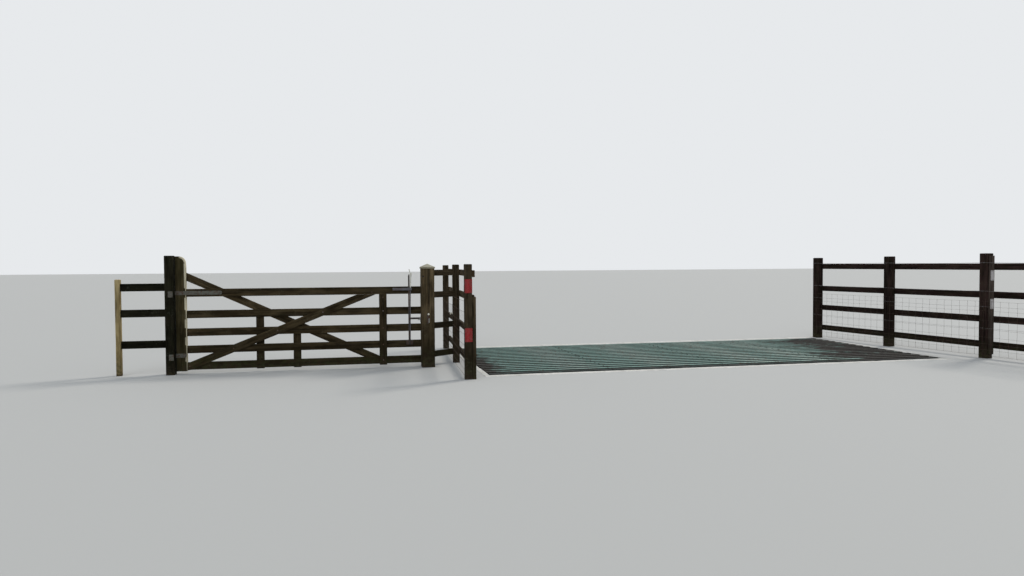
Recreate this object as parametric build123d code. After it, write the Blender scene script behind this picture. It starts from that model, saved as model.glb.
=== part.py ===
from build123d import *
import math
import os

# Cattle grid across a road, with its two wing fences and the side gate for horses and stock.
# X runs along the bars across the road, Y runs along the road, Z is up, all in millimetres.
# The origin is under the middle of the pit floor. Posts stand down to that same level, and the heights
# of the fences and the gate are counted from the verge, which lies a little above the road.

# Pit
road_level = 600
verge_rise = 25
floor_thickness = 100
pit_length = 3700
end_strip_width = 180
end_ledge = 150
side_strip_width = 80
side_ledge = 120
strip_chamfer = 12

# Steel deck
deck_width = 7740
panel_count = 4
panel_gap = 12
deck_clearance = 15
bar_width = 75
bar_gap = 140
bar_end_gap = 80
bar_depth = 75
bar_corner = 8
bearer_depth = 152
bearer_flange = 152
bearer_flange_thickness = 9
bearer_web = 7
bearer_inset = 150
bearer_end_gap = 10

# Wing fences
post_seat_gap = 0.3
rail_thickness = 38
rail_end_gap = 5
post_top_chamfer = 8
left_post_width = 110
left_post_heights = [1582, 1594, 1600]
left_flare_degrees = 3.05
left_far_y = 1900
left_bay_lengths = [2150, 1900]
left_rail_tops = [1513, 1163, 668, 213]
left_rail_depth = 98
left_batten_width = 53
left_batten_depth = 55
left_batten_top = 1140
right_post_width = 145
right_post_heights = [1690, 1700, 1730, 1700]
right_flare_degrees = 7.7
right_far_y = 1900
right_bay_lengths = [1900, 2000, 2100]
right_rail_tops = [1562, 1090, 680, 250]
right_rail_depth = 112
right_rail_end_length = 90

# Reflectors and marker board
reflector_thickness = 4
red_reflector_width = 110
red_reflector_height = 200
red_reflector_bottoms = [1190, 500]
board_width = 110
board_thickness = 22
board_top = 1690
board_bottom = 40
board_shift = 17
white_reflector_width = 76
white_reflector_height = 170
white_reflector_bottoms = [1275, 800]

# Side gate, closed
leaf_thickness = 75
leaf_width = 3752
head_from_pit = 695
gate_ground_gap = 12
leaf_y = -539
harr_width = 150
harr_head_width = 142
harr_top = 1740
harr_shoulder = 1300
harr_round = 100
head_stile_width = 90
head_stile_top = 1290
gate_rail_tops = [1249, 925, 654, 395, 145]
gate_rail_depth = 118
gate_rail_thickness = 28
mortise_depth = 70
lap_thickness = 23
stile_width = 119
stile_foot = 12
stile_places = [1199, 1747]
latch_stile_to_lever = 416
brace_depth = 113
back_brace_heel = 1432
back_brace_foot = 90
front_brace_heel = 72
front_brace_head = 1200
front_brace_to_stile = 27

# Gate posts and the short fences beside them
hanging_post_width = 120
hanging_post_depth = 165
hanging_post_height = 1750
heel_gap = 13.4
shutting_post_width = 205
shutting_post_over_rail = 20
shutting_post_lap = -6
cap_overhang = 10
cap_edge = 24
cap_rise = 55
cap_flat = 3
corner_post_width = 70
corner_post_depth = 95
corner_post_height = 1400
corner_post_from_heel = 803
corner_post_y = -530
side_rail_tops = [1337, 950, 483]
side_rail_depth = 115

# Strap hinges
pin_radius = 9.5
pin_clearance = 0.1
eye_wall = 10
strap_thickness = 8
strap_height = 60
strap_end_round = 25
top_strap_z = 1190
top_strap_length = 660
bottom_strap_z = 250
bottom_strap_length = 140
pin_set_back = 40
eye_gap = 5
eye_rest = 0.3
hook_radius = 12
pin_spare = 15
washer_size = 66
washer_thickness = 6
nut_across = 34
nut_height = 16

# Riders' latch
lever_to_post = 175
lever_width = 40
lever_thickness = 10
lever_pivot_z = 355
lever_fork_z = 1450
lever_long_prong = (-29, 90)
lever_short_prong = (26, 38)
prong_width = 15
lever_tail = 25
lever_corner = 11
lever_standoff = 5
tongue_z = 740
tongue_height = 30
tongue_thickness = 8
tongue_gap = 5
pivot_radius = 8
pivot_head_radius = 14
pivot_head_height = 6
pivot_head_gap = 1
pivot_block_width = 105
pivot_block_height = 70
guide_before_lever = 264
guide_past_lever = 36
guide_height = 40
guide_under_rail_top = 40
guide_thickness = 6
guide_foot = 35
guide_slack = 5
catch_reach = 44
catch_plate = 6
catch_height = 85
catch_width = 36
fitting_width = 46
fitting_height = 165
fitting_top = 830
knob_radius = 16
knob_height = 18

# Worked out from the sizes above
ground_level = road_level + verge_rise
bar_pitch = bar_width + bar_gap
bar_count = int((pit_length - 2 * bar_end_gap - bar_width) // bar_pitch) + 1
bar_underside = road_level - bar_depth
bearer_underside = bar_underside - bearer_depth
panel_width = (deck_width - (panel_count - 1) * panel_gap) / panel_count
outer_half_width = deck_width / 2 + deck_clearance + side_strip_width
outer_half_length = pit_length / 2 + end_strip_width
head_x = -outer_half_width - head_from_pit
heel_x = head_x - leaf_width
corner_post_x = heel_x - corner_post_from_heel
leaf_front = leaf_y - leaf_thickness / 2
leaf_back = leaf_y + leaf_thickness / 2
leaf_foot = ground_level + gate_ground_gap
harr_right = heel_x + harr_width
hanging_post_right = heel_x - heel_gap
hanging_post_back = leaf_back - eye_gap
shutting_post_height = left_rail_tops[0] + shutting_post_over_rail
shutting_post_back = leaf_front - post_seat_gap
shutting_post_left = head_x - head_stile_width + shutting_post_lap
shutting_post_x = shutting_post_left + shutting_post_width / 2
shutting_post_y = shutting_post_back - shutting_post_width / 2
eye_outer = pin_radius + pin_clearance + eye_wall
pin_x = hanging_post_right - pin_set_back
pin_y = leaf_back + eye_outer
lever_x = shutting_post_left - lever_to_post
latch_stile_left = lever_x - latch_stile_to_lever - stile_width / 2
lever_back = leaf_front - lever_standoff
lever_front = lever_back - lever_thickness


def block(low, high):
    """A squared piece between two opposite corners."""
    size = [high[i] - low[i] for i in range(3)]
    return Pos(*low) * Box(*size, align=(Align.MIN, Align.MIN, Align.MIN))


def sawn_post(width, depth, top):
    """A sawn post from the pit floor's level to its top, with weathered top edges."""
    body = Box(width, depth, ground_level + top, align=(Align.CENTER, Align.CENTER, Align.MIN))
    return chamfer(body.edges().group_by(Axis.Z)[-1], post_top_chamfer)


def rail_between(start, finish, top, depth):
    """A sawn rail with its middle line from start to finish and its top edge at a height above the verge."""
    run_x = finish[0] - start[0]
    run_y = finish[1] - start[1]
    middle = Pos((start[0] + finish[0]) / 2, (start[1] + finish[1]) / 2, ground_level + top - depth / 2)
    turn = Rot(0, 0, math.degrees(math.atan2(run_y, run_x)))
    return middle * turn * Box(math.hypot(run_x, run_y), rail_thickness, depth)


def pit_walls():
    """Four concrete walls with a ledge for the steel deck. The side walls fit between the end walls."""
    upper = pit_length / 2
    lower = upper - end_ledge
    end_profile = Polyline(
        (outer_half_length, floor_thickness), (lower, floor_thickness), (lower, bearer_underside),
        (upper, bearer_underside), (upper, road_level - strip_chamfer), (upper + strip_chamfer, road_level),
        (outer_half_length, road_level), close=True)
    far = extrude(Plane.YZ * make_face(end_profile), outer_half_width, both=True)
    near = mirror(far, Plane.XZ)
    side_upper = outer_half_width - side_strip_width
    side_lower = side_upper - side_ledge
    side_profile = Polyline(
        (outer_half_width, floor_thickness), (side_lower, floor_thickness), (side_lower, bearer_underside),
        (side_upper, bearer_underside), (side_upper, road_level), (outer_half_width, road_level), close=True)
    right = extrude(Plane.XZ * make_face(side_profile), pit_length / 2, both=True) - far - near
    left = mirror(right, Plane.YZ)
    return {"pit_wall_near": near, "pit_wall_far": far, "pit_wall_left": left, "pit_wall_right": right}


def deck_bar():
    """One hollow section bar of a deck panel, flat on top with rounded corners, drawn closed."""
    profile = Rectangle(bar_width, bar_depth)
    profile = fillet(profile.vertices().group_by(Axis.Y)[-1], bar_corner)
    return extrude(Plane.YZ * profile, panel_width / 2, both=True)


def deck_bearer():
    """One rolled steel joist that carries a panel from end wall to end wall."""
    flange_middle = (bearer_depth - bearer_flange_thickness) / 2
    top_flange = Pos(0, flange_middle) * Rectangle(bearer_flange, bearer_flange_thickness)
    web = Rectangle(bearer_web, bearer_depth - 2 * bearer_flange_thickness)
    profile = web + top_flange + mirror(top_flange, Plane.XZ)
    return extrude(Plane.XZ * profile, pit_length / 2 - bearer_end_gap, both=True)


def deck_panels():
    """Bars and bearers of each panel. The bars are welded across the joists' top flanges."""
    bar = deck_bar()
    bearer = deck_bearer()
    bearer_offset = panel_width / 2 - bearer_inset
    pieces = {}
    for number in range(panel_count):
        middle_x = (number - (panel_count - 1) / 2) * (panel_width + panel_gap)
        bars = []
        for row in range(bar_count):
            bar_y = (row - (bar_count - 1) / 2) * bar_pitch
            bars.append(Pos(middle_x, bar_y, road_level - bar_depth / 2) * bar)
        pieces[f"bars_{number + 1}"] = Compound(children=bars)
        bearers = []
        for offset in (-bearer_offset, 0, bearer_offset):
            bearers.append(Pos(middle_x + offset, 0, bearer_underside + bearer_depth / 2) * bearer)
        pieces[f"bearers_{number + 1}"] = Compound(children=bearers)
    return pieces


def wing_line(side, half_post, flare, far_y, bays):
    """Post centres of a wing fence from its far post, which stands against the pit wall, to the near one."""
    turn = math.radians(flare)
    far_x = side * (outer_half_width + half_post * (math.cos(turn) + math.sin(turn)) + post_seat_gap)
    centres = [(far_x, far_y)]
    for bay in bays:
        last_x, last_y = centres[-1]
        centres.append((last_x + side * bay * math.tan(turn), last_y - bay))
    return centres


def along(centres, index, forward, sideways, flare):
    """A point beside a wing post: forward runs towards the near end, sideways runs towards +X."""
    turn = math.radians(flare)
    x, y = centres[index]
    return (x + forward * math.sin(turn) + sideways * math.cos(turn),
            y - forward * math.cos(turn) + sideways * math.sin(turn))


def left_wing():
    """Three slim posts with four rails nailed on the road side, and a short batten in front of their ends."""
    half = left_post_width / 2
    flare = -left_flare_degrees
    centres = wing_line(-1, half, left_flare_degrees, left_far_y, left_bay_lengths)
    posts = []
    for (x, y), top in zip(centres, left_post_heights):
        posts.append(Pos(x, y, 0) * Rot(0, 0, flare) * sawn_post(left_post_width, left_post_width, top))
    rail_side = half + rail_thickness / 2
    start = along(centres, 0, -half, rail_side, flare)
    full_end = along(centres, 2, half, rail_side, flare)
    short_end = along(centres, 2, half - left_batten_depth, rail_side, flare)
    rails = [rail_between(start, full_end, left_rail_tops[0], left_rail_depth)]
    for top in left_rail_tops[1:]:
        rails.append(rail_between(start, short_end, top, left_rail_depth))
    batten_middle = along(centres, 2, half - left_batten_depth / 2, half + left_batten_width / 2, flare)
    batten = Pos(*batten_middle, 0) * Rot(0, 0, flare)
    batten = batten * sawn_post(left_batten_width, left_batten_depth, left_batten_top)
    plate_middle = along(centres, 2, half + reflector_thickness / 2, 0, flare)
    plates = []
    for bottom in red_reflector_bottoms:
        plate = Box(red_reflector_width, reflector_thickness, red_reflector_height)
        height = ground_level + bottom + red_reflector_height / 2
        plates.append(Pos(*plate_middle, height) * Rot(0, 0, flare) * plate)
    pieces = {
        "left_wing_posts": Compound(children=posts),
        "left_wing_rails": Compound(children=rails),
        "left_wing_batten": batten,
        "red_reflectors": Compound(children=plates),
    }
    return pieces, centres, posts[1]


def right_wing():
    """Stout posts with four rails on the field side, and a pale board with reflectors on the third post."""
    half = right_post_width / 2
    flare = right_flare_degrees
    centres = wing_line(1, half, right_flare_degrees, right_far_y, right_bay_lengths)
    posts = []
    for (x, y), top in zip(centres, right_post_heights):
        posts.append(Pos(x, y, 0) * Rot(0, 0, flare) * sawn_post(right_post_width, right_post_width, top))
    rail_side = half + rail_thickness / 2
    rails = []
    for top in right_rail_tops:
        start = along(centres, 0, -half - right_rail_end_length, rail_side, flare)
        joint_far = along(centres, 2, -rail_end_gap / 2, rail_side, flare)
        joint_near = along(centres, 2, rail_end_gap / 2, rail_side, flare)
        finish = along(centres, 3, half, rail_side, flare)
        rails.append(rail_between(start, joint_far, top, right_rail_depth))
        rails.append(rail_between(joint_near, finish, top, right_rail_depth))
    board_height = board_top - board_bottom
    board_middle = along(centres, 2, half + board_thickness / 2, board_shift, flare)
    board = Pos(*board_middle, ground_level + board_bottom + board_height / 2) * Rot(0, 0, flare)
    board = board * Box(board_width, board_thickness, board_height)
    plate_middle = along(centres, 2, half + board_thickness + reflector_thickness / 2, board_shift, flare)
    plates = []
    for bottom in white_reflector_bottoms:
        plate = Box(white_reflector_width, reflector_thickness, white_reflector_height)
        height = ground_level + bottom + white_reflector_height / 2
        plates.append(Pos(*plate_middle, height) * Rot(0, 0, flare) * plate)
    return {
        "right_wing_posts": Compound(children=posts),
        "right_wing_rails": Compound(children=rails),
        "marker_board": board,
        "white_reflectors": Compound(children=plates),
    }


def lap_layer(front):
    """Lowest and highest Y of the boards lapped on the front or the back of the gate rails."""
    rail_half = gate_rail_thickness / 2
    if front:
        return leaf_y - rail_half - lap_thickness, leaf_y - rail_half
    return leaf_y + rail_half, leaf_y + rail_half + lap_thickness


def brace(start, finish, layer, left, right, low, high):
    """A sloping board whose ends are cut upright and level by the timbers that it meets."""
    run_x = finish[0] - start[0]
    run_z = finish[1] - start[1]
    slope = math.degrees(math.atan2(run_z, run_x))
    depth_y = layer[1] - layer[0]
    middle = Pos((start[0] + finish[0]) / 2, (layer[0] + layer[1]) / 2, (start[1] + finish[1]) / 2)
    board = middle * Rot(0, -slope, 0) * Box(math.hypot(run_x, run_z) + 4 * brace_depth, depth_y, brace_depth)
    return board & block((left, layer[0], low), (right, layer[1], high))


def gate_leaf():
    """Five rail gate leaf: a tall heel post, tenoned rails, lapped uprights and two crossing braces."""
    front = lap_layer(True)
    back = lap_layer(False)
    rail_half = gate_rail_thickness / 2
    rail_top = [ground_level + top for top in gate_rail_tops]
    top_rail_underside = rail_top[0] - gate_rail_depth
    bottom_rail_underside = rail_top[-1] - gate_rail_depth

    back_brace = brace(
        (harr_right, ground_level + back_brace_heel), (latch_stile_left, ground_level + back_brace_foot),
        back, harr_right, latch_stile_left, bottom_rail_underside, ground_level + harr_top)
    front_brace = brace(
        (harr_right, ground_level + front_brace_heel),
        (latch_stile_left - front_brace_to_stile, ground_level + front_brace_head), front,
        harr_right, latch_stile_left, bottom_rail_underside, top_rail_underside)

    rail_left = harr_right - mortise_depth
    head_left = head_x - head_stile_width
    tenon_low = (rail_left, leaf_y - rail_half, top_rail_underside)
    top_rail = block(tenon_low, (head_x, leaf_y + rail_half, rail_top[0]))
    top_rail += block((harr_right, leaf_front, top_rail_underside), (head_left, leaf_back, rail_top[0]))
    top_rail -= back_brace
    rails = [top_rail]
    for top in rail_top[1:]:
        low = (rail_left, leaf_y - rail_half, top - gate_rail_depth)
        rails.append(block(low, (head_x, leaf_y + rail_half, top)))

    with BuildPart() as harr_builder:
        with BuildSketch(Plane.XZ.offset(-leaf_front)):
            with BuildLine():
                Polyline(
                    (heel_x, leaf_foot), (harr_right, leaf_foot), (harr_right, ground_level + harr_shoulder),
                    (heel_x + harr_head_width, ground_level + harr_top), (heel_x, ground_level + harr_top),
                    close=True)
            make_face()
            corner = vertices().sort_by(Axis.X)[-3:].sort_by(Axis.Y)[-1]
            fillet(corner, harr_round)
        extrude(amount=-leaf_thickness)
    harr = harr_builder.part
    for rail in rails:
        harr = harr - rail
    head_stile = block((head_left, leaf_front, leaf_foot), (head_x, leaf_back, ground_level + head_stile_top))
    for rail in rails:
        head_stile = head_stile - rail

    stiles = []
    for place, top in zip(stile_places, rail_top[1:3]):
        middle_x = heel_x + place
        stile = block((middle_x - stile_width / 2, back[0], ground_level + stile_foot),
                      (middle_x + stile_width / 2, back[1], top))
        stiles.append(stile - back_brace)
    for layer in (front, back):
        stiles.append(block((latch_stile_left, layer[0], ground_level + stile_foot),
                            (latch_stile_left + stile_width, layer[1], top_rail_underside)))
    return {
        "harr": harr,
        "gate_rails": Compound(children=rails),
        "head_stile": head_stile,
        "gate_stiles": Compound(children=stiles),
        "back_brace": back_brace,
        "front_brace": front_brace,
    }


def strap(middle_z, length):
    """A forged band that wraps the heel of the gate, with a rolled eye over the hook behind the post."""
    low = ground_level + middle_z - strap_height / 2
    high = low + strap_height
    heel = heel_x - strap_thickness
    front_leg = block((heel, leaf_front - strap_thickness, low), (heel_x + length, leaf_front, high))
    front_leg = fillet(front_leg.edges().filter_by(Axis.Y).group_by(Axis.X)[-1], strap_end_round)
    heel_turn = block((heel, leaf_front, low), (heel_x, leaf_back, high))
    back_leg = block((pin_x, leaf_back, low), (heel_x + length, leaf_back + strap_thickness, high))
    back_leg = fillet(back_leg.edges().filter_by(Axis.Y).group_by(Axis.X)[-1], strap_end_round)
    eye = Pos(pin_x, pin_y, low) * extrude(Circle(eye_outer), strap_height)
    bore = Pos(pin_x, pin_y, low) * extrude(Circle(pin_radius + pin_clearance), strap_height)
    return front_leg + heel_turn + back_leg + eye - bore


def hook(middle_z):
    """A hook bolt through the hanging post: pin behind, square washer and nut on the front."""
    eye_foot = ground_level + middle_z - strap_height / 2
    shank_z = eye_foot - eye_rest - hook_radius
    post_front = hanging_post_back - hanging_post_depth
    shank_start = post_front - washer_thickness - nut_height
    shank = extrude(Circle(hook_radius), pin_y - shank_start)
    shank = Pos(pin_x, shank_start, shank_z) * Rot(-90, 0, 0) * shank
    knuckle = Pos(pin_x, pin_y, shank_z) * Sphere(hook_radius)
    pin_height = hook_radius + eye_rest + strap_height + pin_spare
    pin = Pos(pin_x, pin_y, shank_z) * extrude(Circle(pin_radius), pin_height)
    washer = Box(washer_size, washer_thickness, washer_size)
    washer = Pos(pin_x, post_front - washer_thickness / 2, shank_z) * washer
    nut_face = RegularPolygon(nut_across / 2, 6, major_radius=False)
    nut = Pos(pin_x, post_front - washer_thickness, shank_z) * Rot(90, 0, 0) * extrude(nut_face, nut_height)
    return shank + knuckle + pin + washer + nut, shank


def gate_posts(wing_post):
    """Hanging post, shutting post with its weathered cap, and the short fences that join them to the rest."""
    hanging_x = hanging_post_right - hanging_post_width / 2
    hanging_y = hanging_post_back - hanging_post_depth / 2
    hanging = sawn_post(hanging_post_width, hanging_post_depth, hanging_post_height)
    hanging = Pos(hanging_x, hanging_y, 0) * hanging
    top_hook, top_shank = hook(top_strap_z)
    bottom_hook, bottom_shank = hook(bottom_strap_z)
    corner = sawn_post(corner_post_width, corner_post_depth, corner_post_height)
    corner = Pos(corner_post_x, corner_post_y, 0) * corner
    side_rails = []
    for top in side_rail_tops:
        rail = rail_between((corner_post_x, corner_post_y), (hanging_x, corner_post_y), top, side_rail_depth)
        side_rails.append(rail - corner - hanging)
    shutting = Box(shutting_post_width, shutting_post_width, ground_level + shutting_post_height,
                   align=(Align.CENTER, Align.CENTER, Align.MIN))
    shutting = Pos(shutting_post_x, shutting_post_y, 0) * shutting
    cap_size = shutting_post_width + 2 * cap_overhang
    cap_base = Pos(shutting_post_x, shutting_post_y, ground_level + shutting_post_height)
    cap = cap_base * extrude(Rectangle(cap_size, cap_size), cap_edge)
    slope = math.degrees(math.atan2(cap_size / 2, cap_rise))
    cap_roof = extrude(Rectangle(cap_size, cap_size), cap_rise - cap_flat, taper=slope)
    cap += cap_base * Pos(0, 0, cap_edge) * cap_roof
    wing_middle = wing_post.bounding_box().center()
    link_rails = []
    for top in left_rail_tops:
        rail = rail_between((shutting_post_x, shutting_post_y), (wing_middle.X, wing_middle.Y), top,
                            left_rail_depth)
        link_rails.append(rail - shutting - wing_post)
    return {
        "hanging_post": hanging - top_shank - bottom_shank,
        "corner_post": corner,
        "side_rails": Compound(children=side_rails),
        "shutting_post": shutting,
        "shutting_post_cap": cap,
        "link_rails": Compound(children=link_rails),
        "top_hook": top_hook,
        "bottom_hook": bottom_hook,
    }


def riders_latch():
    """Tall forked lever that a rider can reach, its tongue, the guide on the top rail and the catch."""
    pivot_z = ground_level + lever_pivot_z
    lever_left = lever_x - lever_width / 2
    lever = block((lever_left, lever_front, pivot_z - lever_tail),
                  (lever_left + lever_width, lever_back, ground_level + lever_fork_z))
    lever = fillet(lever.edges().filter_by(Axis.Y), lever_corner)
    fork_foot = Pos(lever_x, (lever_front + lever_back) / 2, ground_level + lever_fork_z - lever_corner)
    for sideways, rise in (lever_long_prong, lever_short_prong):
        lean = math.degrees(math.atan2(sideways, rise))
        prong = Box(prong_width, lever_thickness, math.hypot(sideways, rise) + lever_corner,
                    align=(Align.CENTER, Align.CENTER, Align.MIN))
        prong = fillet(prong.edges().filter_by(Axis.Y).group_by(Axis.Z)[-1], prong_width * 0.45)
        lever += fork_foot * Rot(0, lean, 0) * prong
    bore = Pos(lever_x, lever_back, pivot_z) * Rot(90, 0, 0)
    lever -= bore * extrude(Circle(pivot_radius + pin_clearance), lever_thickness)
    tongue_end = shutting_post_left - catch_plate - tongue_gap
    tongue_low = ground_level + tongue_z - tongue_height / 2
    tongue = block((lever_left, lever_front - tongue_thickness, tongue_low),
                   (tongue_end, lever_front, tongue_low + tongue_height))

    rail_front = leaf_y - gate_rail_thickness / 2
    block_front = lever_back + pivot_head_gap
    pivot_block = block((lever_x - pivot_block_width / 2, block_front, pivot_z - pivot_block_height / 2),
                        (lever_x + pivot_block_width / 2, rail_front, pivot_z + pivot_block_height / 2))
    pivot_length = lever_thickness + 2 * pivot_head_gap
    pivot = Pos(lever_x, block_front, pivot_z) * Rot(90, 0, 0) * extrude(Circle(pivot_radius), pivot_length)
    head_place = Pos(lever_x, lever_front - pivot_head_gap, pivot_z) * Rot(90, 0, 0)
    pivot_mount = pivot_block + pivot + head_place * extrude(Circle(pivot_head_radius), pivot_head_height)

    guide_left = lever_x - guide_before_lever
    guide_right = lever_x + guide_past_lever
    guide_low = ground_level + gate_rail_tops[0] - guide_under_rail_top - guide_height / 2
    guide_high = guide_low + guide_height
    guide_front = lever_front - guide_slack - guide_thickness
    guide = block((guide_left, guide_front, guide_low), (guide_right, leaf_front, guide_high))
    guide -= block((guide_left + guide_foot, guide_front + guide_thickness, guide_low),
                   (guide_right - guide_thickness, leaf_front, guide_high))
    guide -= block((guide_left, guide_front, guide_low),
                   (guide_left + guide_foot - guide_thickness, leaf_front - guide_thickness, guide_high))

    shelf_top = tongue_low - tongue_gap
    plate_low = shelf_top - catch_height / 2
    catch_front = leaf_front - tongue_gap - catch_width
    catch = block((shutting_post_left - catch_plate, catch_front, plate_low),
                  (shutting_post_left, catch_front + catch_width, plate_low + catch_height))
    catch += block((shutting_post_left - catch_reach, catch_front, shelf_top - catch_plate),
                   (shutting_post_left, catch_front + catch_width, shelf_top))
    post_front = shutting_post_back - shutting_post_width
    fitting_low = ground_level + fitting_top - fitting_height
    fitting = block((shutting_post_x - fitting_width / 2, post_front - catch_plate, fitting_low),
                    (shutting_post_x + fitting_width / 2, post_front, fitting_low + fitting_height))
    knob = Pos(shutting_post_x, post_front - catch_plate, fitting_low + fitting_height - 2 * knob_radius)
    fitting += knob * Rot(90, 0, 0) * extrude(Circle(knob_radius), knob_height, taper=20)
    return {
        "latch_lever": lever,
        "latch_tongue": tongue,
        "latch_pivot": pivot_mount,
        "latch_guide": guide,
        "latch_catch": catch,
        "post_fitting": fitting,
    }


floor_corner = (outer_half_width, outer_half_length)
nodes = {"pit_floor": block((-floor_corner[0], -floor_corner[1], 0), (*floor_corner, floor_thickness))}
nodes.update(pit_walls())
nodes.update(deck_panels())
left_pieces, left_centres, left_middle_post = left_wing()
nodes.update(left_pieces)
nodes.update(right_wing())
nodes.update(gate_posts(left_middle_post))
nodes.update(gate_leaf())
nodes["top_strap"] = strap(top_strap_z, top_strap_length)
nodes["bottom_strap"] = strap(bottom_strap_z, bottom_strap_length)
nodes.update(riders_latch())

os.makedirs("parts", exist_ok=True)
for name, solid in nodes.items():
    export_step(solid, f"parts/{name}.step")
print(len(nodes), "nodes")
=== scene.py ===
import random
from functools import reduce
from math import copysign, cos, pi, radians, sin, sqrt
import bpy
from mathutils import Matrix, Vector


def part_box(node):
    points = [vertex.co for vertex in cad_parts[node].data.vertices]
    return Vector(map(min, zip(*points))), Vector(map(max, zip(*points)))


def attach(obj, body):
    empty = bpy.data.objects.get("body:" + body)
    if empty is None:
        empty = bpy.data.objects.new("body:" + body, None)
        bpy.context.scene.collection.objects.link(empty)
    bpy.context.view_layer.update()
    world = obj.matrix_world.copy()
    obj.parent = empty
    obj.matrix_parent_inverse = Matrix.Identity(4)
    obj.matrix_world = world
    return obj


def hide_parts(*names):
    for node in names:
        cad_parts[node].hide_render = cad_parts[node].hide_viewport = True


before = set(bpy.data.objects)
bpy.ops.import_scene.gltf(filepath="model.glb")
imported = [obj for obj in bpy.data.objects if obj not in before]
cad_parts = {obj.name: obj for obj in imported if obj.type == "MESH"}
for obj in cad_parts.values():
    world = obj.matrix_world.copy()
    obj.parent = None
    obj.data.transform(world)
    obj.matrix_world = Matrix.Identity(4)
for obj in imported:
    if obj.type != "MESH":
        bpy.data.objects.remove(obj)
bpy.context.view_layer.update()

from types import SimpleNamespace

import bmesh
import bpy
from mathutils import Matrix, Vector, noise

# The view: from the near side at standing height, with the side gate on the left and the grid in the middle.
# Heights count from the underside of the pit, so the deck's top is at 0.6 m. The posts stand at a level
# 25 mm over the deck, and the eye is 1.6 m over that.
deck_level, foot_level = 0.6, 0.625
eye = Vector((-5.965, -12.9, foot_level + 1.6))
yaw, pitch, roll = radians(12.4), radians(-1.8), radians(0.33)
lens = bpy.data.cameras.new("main_view")
lens.sensor_width, lens.lens, lens.clip_end = 36, 27.07, 400


def placed(name, data):
    thing = bpy.data.objects.new(name, data)
    bpy.context.scene.collection.objects.link(thing)
    return thing


camera = placed("main_view", lens)
camera.matrix_world = (Matrix.Translation(eye) @ Matrix.Rotation(-yaw, 4, "Z")
                       @ Matrix.Rotation(radians(90) + pitch, 4, "X") @ Matrix.Rotation(-roll, 4, "Z"))
bpy.context.scene.camera = camera

# Plain pale floor with a hole that the pit fills. It lies 4 mm under the deck's level, so that the pit's
# kerbs show their edges.
pit_low, pit_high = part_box("pit_floor")
reach = 160
steps_x = (-reach, pit_low.x, pit_high.x, reach)
steps_y = (-reach, pit_low.y, pit_high.y, reach)
corners = [(x, y, deck_level - 0.004) for y in steps_y for x in steps_x]
squares = [(r * 4 + c, r * 4 + c + 1, r * 4 + c + 5, r * 4 + c + 4)
           for r in range(3) for c in range(3) if (r, c) != (1, 1)]
floor_mesh = bpy.data.meshes.new("studio_floor")
floor_mesh.from_pydata(corners, [], squares)
studio_floor = placed("studio_floor", floor_mesh)
floor_paint = bpy.data.materials.new("studio_floor")
floor_paint.use_nodes = True
floor_shader = floor_paint.node_tree.nodes["Principled BSDF"].inputs
floor_shader["Base Color"].default_value = (0.44, 0.44, 0.43, 1)
floor_shader["Roughness"].default_value = 0.9
floor_mesh.materials.append(floor_paint)

# Soft studio light: an even surround that shows pale, a broad warm key from the right and behind, and a
# weak fill from the near side.


def add(tree, kind, inputs=(), **settings):
    """A shader node with its settings, and with its inputs joined or set. Gives its outputs."""
    made = tree.nodes.new("ShaderNode" + kind)
    for key, value in settings.items():
        setattr(made, key, value)
    for key, value in inputs.items() if isinstance(inputs, dict) else enumerate(inputs):
        socket = made.inputs[key]
        if isinstance(value, bpy.types.NodeSocket):
            tree.links.new(value, socket)
        else:
            socket.default_value = (*value, 1) if socket.type == "RGBA" else value
    return made.outputs


surround = bpy.data.worlds.new("surround")
surround.use_nodes = True
bpy.context.scene.world = surround
light_tree = surround.node_tree
even = add(light_tree, "Background", {"Color": (0.86, 0.93, 1.0), "Strength": 0.62})[0]
pale = add(light_tree, "Background", {"Color": (0.8, 0.82, 0.84), "Strength": 1.0})[0]
ray = add(light_tree, "LightPath")
mirrored = add(light_tree, "Math", (ray["Is Glossy Ray"], ray["Is Transmission Ray"]), operation="MAXIMUM")[0]
direct = add(light_tree, "Math", (ray["Is Camera Ray"], mirrored), operation="MAXIMUM")[0]
seen = add(light_tree, "MixShader", (direct, even, pale))[0]
light_tree.links.new(seen, light_tree.nodes["World Output"].inputs["Surface"])
for name, strength, spread, colour, turn, height in (
        ("key", 1.75, 14, (1.0, 0.95, 0.87), 62, 42), ("fill", 0.75, 40, (0.93, 0.96, 1.0), 205, 38)):
    lamp = bpy.data.lights.new(name, "SUN")
    lamp.energy, lamp.angle, lamp.color = strength, radians(spread), colour
    a, h = radians(turn), radians(height)
    source = Vector((sin(a) * cos(h), cos(a) * cos(h), sin(h)))
    placed(name, lamp).rotation_euler = source.to_track_quat("Z", "Y").to_euler()
bpy.context.scene.view_settings.view_transform = "Standard"

# The pit: a cast concrete floor and four walls, shuttered with boards and cast in place. The end walls'
# tops show as pale kerbs beside the steel, scuffed and chipped at their edges. Below the kerbs' tops the
# concrete is much darker, with green growth and run-down stains.


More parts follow.
